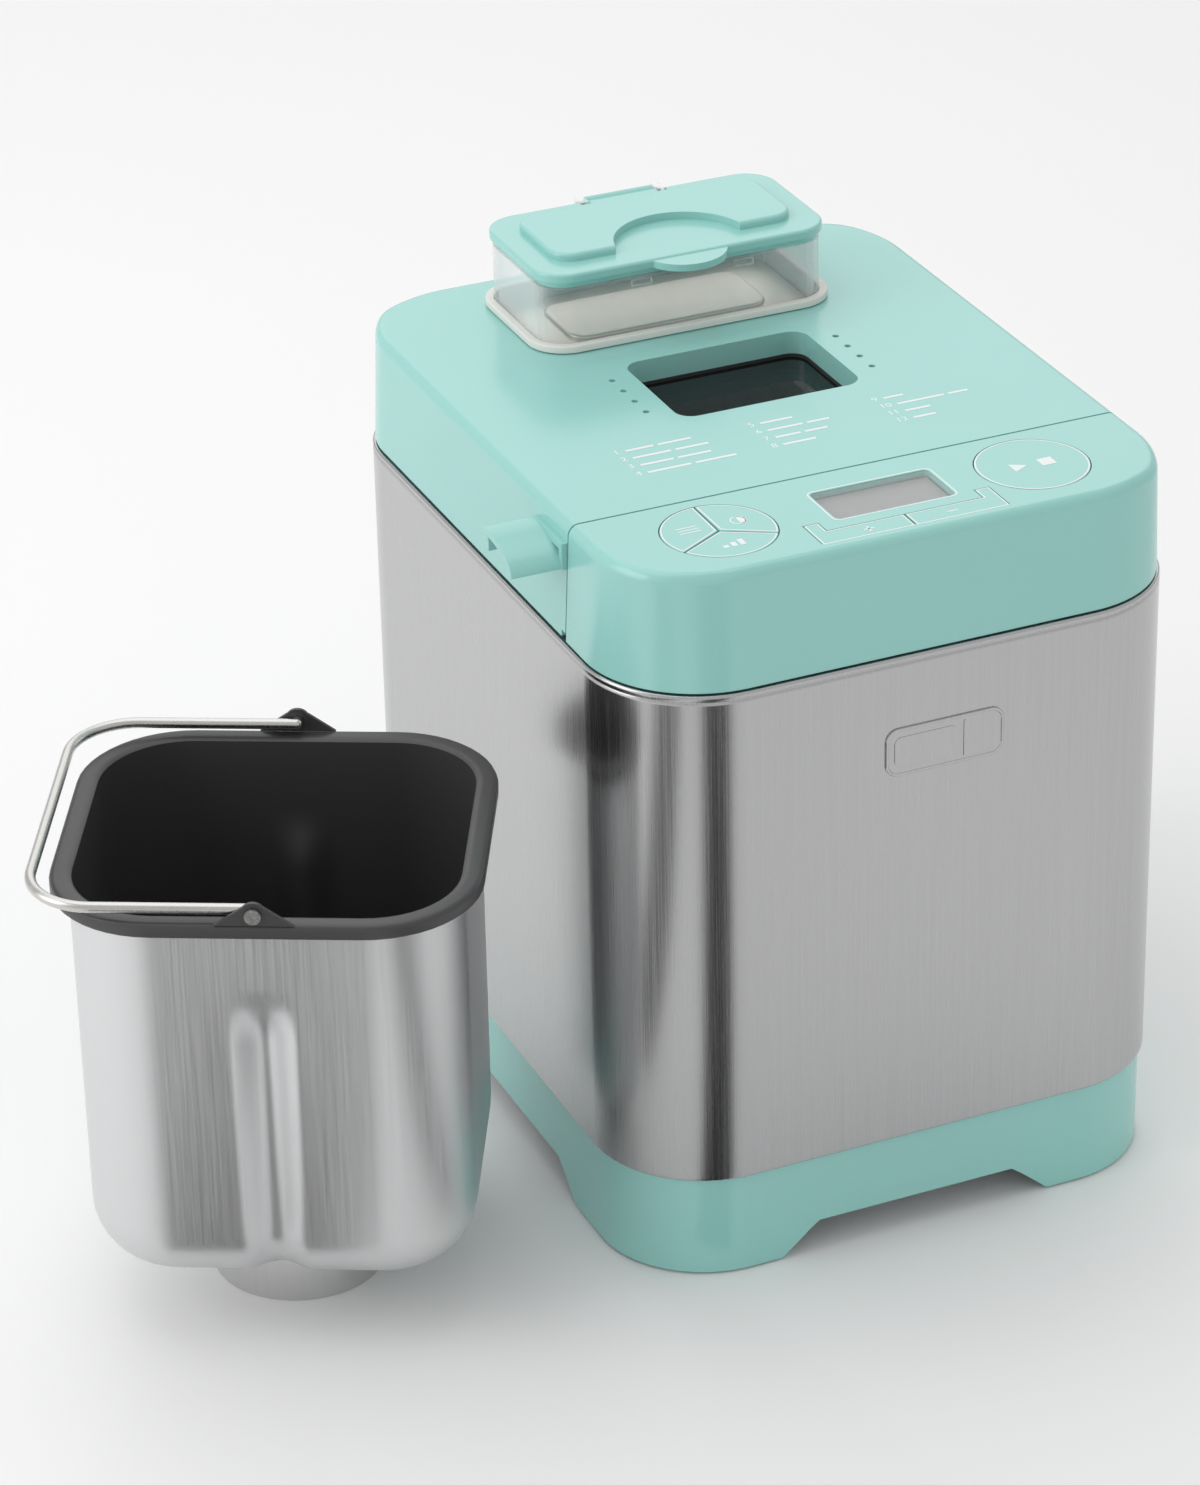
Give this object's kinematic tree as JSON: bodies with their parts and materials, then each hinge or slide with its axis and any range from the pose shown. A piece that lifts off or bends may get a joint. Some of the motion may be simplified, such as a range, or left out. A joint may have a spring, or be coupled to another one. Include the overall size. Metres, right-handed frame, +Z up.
{
  "type": "bread machine",
  "caption": "Countertop bread machine with a steel-wrapped body, hinged lid with window and lift-out ingredient dispenser, control panel, and a removable bread pan with bail handle and paddle.",
  "frame": {"origin": "middle of the front left rubber foot's underside, on the counter that the machine and its pan stand on", "axes": "+Z up; the control panel's front faces -Y; +X is to the right of someone facing the front"},
  "size_m": [0.423, 0.2808, 0.3214],
  "materials": {
    "aqua_plastic": "glossy moulded plastic",
    "aqua_key": "glossy printed film",
    "stainless": "vertically brushed",
    "zinc_steel": "plated sheet",
    "aluminised": "satin",
    "cast_metal": "as cast",
    "pan_aluminium": "brushed",
    "nonstick": "dark baked coating",
    "satin_wire": "satin wire",
    "element_metal": "dark sheathed tube",
    "brass": "machined",
    "rubber": "matte",
    "black_plastic": "moulded",
    "circuit_board": "solder mask",
    "display_panel": "liquid crystal",
    "smoked_glass": "smoked",
    "clear_plastic": "clear moulded",
    "seat_flange": "off-white silicone",
    "flap_metal": "satin warm metal"
  },
  "bodies": {
    "machine": {"base_shell": "aqua_plastic", "bottom_plate": "zinc_steel", "rubber_feet": "rubber", "steel_wrap": "stainless", "front_plaque": "stainless", "chassis_plate": "zinc_steel", "frame_posts": "zinc_steel", "top_housing": "aqua_plastic", "display_lens": "clear_plastic", "display_module": "display_panel", "control_board": "circuit_board", "chamber_liner": "aluminised", "pan_seat": "cast_metal", "drive_bush": "brass", "heating_element": "element_metal", "element_clips": "zinc_steel", "temperature_sensor": "satin_wire", "thermal_fuse": "black_plastic", "heat_shield": "zinc_steel", "motor": "zinc_steel", "motor_bracket": "zinc_steel", "motor_capacitor": "black_plastic", "power_board": "circuit_board", "wire_harness": "black_plastic", "drive_belt": "rubber", "cord_gland": "black_plastic", "hinge_pins": "satin_wire", "chassis_screws": "zinc_steel", "housing_screws": "zinc_steel", "motor_screws": "zinc_steel"},
    "lid": {"lid_shell": "aqua_plastic", "lid_liner": "aluminised", "window_glass": "smoked_glass", "window_gasket": "rubber", "flap_solenoid": "black_plastic", "lid_screws": "zinc_steel"},
    "dispenser": {"dispenser_box": "clear_plastic", "dispenser_flange": "seat_flange", "dispenser_hinge_pin": "satin_wire", "flap_pin": "satin_wire"},
    "cover": {"dispenser_cover": "aqua_plastic"},
    "flap": {"trap_flap": "flap_metal"},
    "drive": {"drive_shaft": "satin_wire", "drive_pulley": "black_plastic", "drive_coupling": "cast_metal"},
    "rotor": {"motor_pulley": "cast_metal"},
    "menu_key": {"key_menu": "aqua_key"},
    "crust_key": {"key_crust": "aqua_key"},
    "size_key": {"key_size": "aqua_key"},
    "plus_key": {"key_plus": "aqua_key"},
    "minus_key": {"key_minus": "aqua_key"},
    "start_key": {"key_start": "aqua_key"},
    "pan": {"pan_shell": "pan_aluminium", "pan_lugs": "nonstick", "pan_collar": "satin_wire", "pan_bush": "brass"},
    "bail": {"pan_handle": "satin_wire"},
    "paddle": {"pan_shaft": "satin_wire", "wing_coupling": "cast_metal", "kneading_paddle": "nonstick"}
  },
  "joints": [
    {"name": "lid_hinge", "type": "hinge", "parent": "machine", "child": "lid", "pos_m": [0.08936, 0.25135, 0.247], "axis": [-1, 0, 0], "range_deg": [0, 80]},
    {"name": "dispenser_lift", "type": "slide", "parent": "lid", "child": "dispenser", "axis": [0, 0, 1], "range_m": [0, 0.04]},
    {"name": "dispenser_cover_hinge", "type": "hinge", "parent": "dispenser", "child": "cover", "pos_m": [0.09015, 0.2413, 0.3162], "axis": [-1, 0, 0], "range_deg": [0, 100]},
    {"name": "trap_flap_hinge", "type": "hinge", "parent": "dispenser", "child": "flap", "pos_m": [0.09015, 0.18, 0.2824], "axis": [-1, 0, 0], "range_deg": [0, 75], "stiffness_Nm_per_rad": 0.05, "springref_deg": -57.3},
    {"name": "drive_spin", "type": "hinge", "parent": "machine", "child": "drive", "pos_m": [0.08936, 0.14686, 0.03], "axis": [0, 0, 1], "continuous": true},
    {"name": "motor_spin", "type": "hinge", "parent": "machine", "child": "rotor", "pos_m": [0.03936, 0.02436, 0.03], "axis": [0, 0, 1], "continuous": true},
    {"name": "menu_key_press", "type": "slide", "parent": "machine", "child": "menu_key", "axis": [0, 0, -1], "range_m": [0, 0.0006], "stiffness_N_per_m": 500, "springref_m": -0.001},
    {"name": "crust_key_press", "type": "slide", "parent": "machine", "child": "crust_key", "axis": [0, 0, -1], "range_m": [0, 0.0006], "stiffness_N_per_m": 500, "springref_m": -0.001},
    {"name": "size_key_press", "type": "slide", "parent": "machine", "child": "size_key", "axis": [0, 0, -1], "range_m": [0, 0.0006], "stiffness_N_per_m": 500, "springref_m": -0.001},
    {"name": "plus_key_press", "type": "slide", "parent": "machine", "child": "plus_key", "axis": [0, 0, -1], "range_m": [0, 0.0006], "stiffness_N_per_m": 500, "springref_m": -0.001},
    {"name": "minus_key_press", "type": "slide", "parent": "machine", "child": "minus_key", "axis": [0, 0, -1], "range_m": [0, 0.0006], "stiffness_N_per_m": 500, "springref_m": -0.001},
    {"name": "start_key_press", "type": "slide", "parent": "machine", "child": "start_key", "axis": [0, 0, -1], "range_m": [0, 0.0006], "stiffness_N_per_m": 500, "springref_m": -0.001},
    {"name": "pan_lift", "type": "slide", "parent": "machine", "child": "pan", "axis": [0, 0, 1], "range_m": [0, 0.06]},
    {"name": "bail_swing", "type": "hinge", "parent": "pan", "child": "bail", "pos_m": [-0.12515, 0.06135, 0.1864], "axis": [0.454, 0.891, 0], "range_deg": [0, 180]},
    {"name": "paddle_spin", "type": "hinge", "parent": "pan", "child": "paddle", "pos_m": [-0.12515, 0.06135, 0.02], "axis": [0, 0, 1], "continuous": true}
  ],
  "couplings": [
    {"joint": "motor_spin", "follows": "drive_spin", "ratio": 6}
  ]
}
